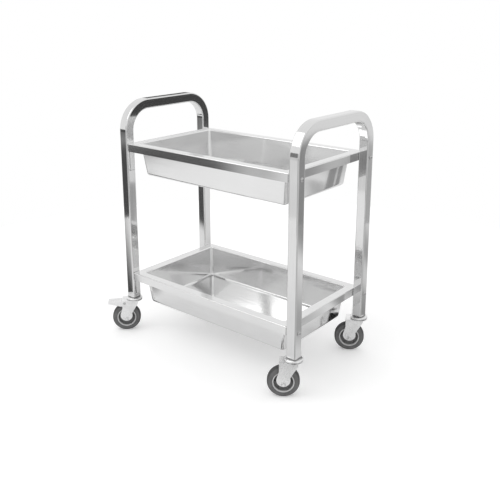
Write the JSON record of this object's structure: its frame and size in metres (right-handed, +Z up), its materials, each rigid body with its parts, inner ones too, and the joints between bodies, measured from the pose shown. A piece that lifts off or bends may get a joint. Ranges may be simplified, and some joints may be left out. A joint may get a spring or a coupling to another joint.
{
  "type": "instrument cart",
  "caption": "Two-tier stainless instrument cart with deep trays, bent-tube end handles and swivel casters, some braked.",
  "frame": {"origin": "on the floor, under the middle of the whole cart's box as it stands, casters and pedals counted", "axes": "+X along the long side, +Y from the front towards the back, +Z up"},
  "size_m": [0.7689, 0.457, 0.784],
  "materials": {
    "stainless_tube": "brushed",
    "stainless_sheet": "satin",
    "fasteners": "plain",
    "zinc_plate": "bright zinc",
    "steel": "plain",
    "grey_rubber": "matte",
    "wheel_centre": "matte"
  },
  "bodies": {
    "chassis": {"end_frame_left": "stainless_tube", "end_frame_right": "stainless_tube", "upper_tray": "stainless_sheet", "lower_tray": "stainless_sheet", "bolt_upper_front_left": "fasteners", "nut_upper_front_left": "fasteners", "bolt_upper_front_right": "fasteners", "nut_upper_front_right": "fasteners", "bolt_upper_rear_right": "fasteners", "nut_upper_rear_right": "fasteners", "bolt_upper_rear_left": "fasteners", "nut_upper_rear_left": "fasteners", "bolt_lower_front_left": "fasteners", "nut_lower_front_left": "fasteners", "bolt_lower_front_right": "fasteners", "nut_lower_front_right": "fasteners", "bolt_lower_rear_right": "fasteners", "nut_lower_rear_right": "fasteners", "bolt_lower_rear_left": "fasteners", "nut_lower_rear_left": "fasteners", "stem_front_left": "steel", "swivel_cup_front_left": "zinc_plate", "stem_nut_front_left": "fasteners", "stem_front_right": "steel", "swivel_cup_front_right": "zinc_plate", "stem_nut_front_right": "fasteners", "stem_rear_right": "steel", "swivel_cup_rear_right": "zinc_plate", "stem_nut_rear_right": "fasteners", "stem_rear_left": "steel", "swivel_cup_rear_left": "zinc_plate", "stem_nut_rear_left": "fasteners"},
    "caster_front_left": {"ball_ring_front_left": "steel", "fork_front_left": "zinc_plate", "axle_front_left": "fasteners", "axle_nut_front_left": "fasteners", "pedal_pin_front_left": "fasteners"},
    "wheel_front_left": {"tyre_front_left": "grey_rubber", "wheel_front_left": "wheel_centre"},
    "pedal_front_left": {"pedal_front_left": "zinc_plate"},
    "caster_front_right": {"ball_ring_front_right": "steel", "fork_front_right": "zinc_plate", "axle_front_right": "fasteners", "axle_nut_front_right": "fasteners"},
    "wheel_front_right": {"tyre_front_right": "grey_rubber", "wheel_front_right": "wheel_centre"},
    "caster_rear_right": {"ball_ring_rear_right": "steel", "fork_rear_right": "zinc_plate", "axle_rear_right": "fasteners", "axle_nut_rear_right": "fasteners"},
    "wheel_rear_right": {"tyre_rear_right": "grey_rubber", "wheel_rear_right": "wheel_centre"},
    "caster_rear_left": {"ball_ring_rear_left": "steel", "fork_rear_left": "zinc_plate", "axle_rear_left": "fasteners", "axle_nut_rear_left": "fasteners", "pedal_pin_rear_left": "fasteners"},
    "wheel_rear_left": {"tyre_rear_left": "grey_rubber", "wheel_rear_left": "wheel_centre"},
    "pedal_rear_left": {"pedal_rear_left": "zinc_plate"}
  },
  "joints": [
    {"name": "swivel_front_left", "type": "hinge", "parent": "chassis", "child": "caster_front_left", "pos_m": [-0.31, -0.153, 0.111], "axis": [0, 0, 1], "continuous": true},
    {"name": "roll_front_left", "type": "hinge", "parent": "caster_front_left", "child": "wheel_front_left", "pos_m": [-0.32945, -0.17314, 0.047], "axis": [0.7193, -0.6947, 0], "continuous": true},
    {"name": "brake_front_left", "type": "hinge", "parent": "caster_front_left", "child": "pedal_front_left", "pos_m": [-0.33292, -0.17674, 0.1015], "axis": [0.7193, -0.6947, 0], "range_deg": [0, 16]},
    {"name": "swivel_front_right", "type": "hinge", "parent": "chassis", "child": "caster_front_right", "pos_m": [0.358, -0.153, 0.111], "axis": [0, 0, 1], "continuous": true},
    {"name": "roll_front_right", "type": "hinge", "parent": "caster_front_right", "child": "wheel_front_right", "pos_m": [0.33564, -0.16985, 0.047], "axis": [0.6018, -0.7986, 0], "continuous": true},
    {"name": "swivel_rear_right", "type": "hinge", "parent": "chassis", "child": "caster_rear_right", "pos_m": [0.358, 0.201, 0.111], "axis": [0, 0, 1], "continuous": true},
    {"name": "roll_rear_right", "type": "hinge", "parent": "caster_rear_right", "child": "wheel_rear_right", "pos_m": [0.33426, 0.18616, 0.047], "axis": [0.5299, -0.848, 0], "continuous": true},
    {"name": "swivel_rear_left", "type": "hinge", "parent": "chassis", "child": "caster_rear_left", "pos_m": [-0.31, 0.201, 0.111], "axis": [0, 0, 1], "continuous": true},
    {"name": "roll_rear_left", "type": "hinge", "parent": "caster_rear_left", "child": "wheel_rear_left", "pos_m": [-0.32724, 0.17894, 0.047], "axis": [0.788, -0.6157, 0], "continuous": true},
    {"name": "brake_rear_left", "type": "hinge", "parent": "caster_rear_left", "child": "pedal_rear_left", "pos_m": [-0.33032, 0.175, 0.1015], "axis": [0.788, -0.6157, 0], "range_deg": [0, 16]}
  ]
}
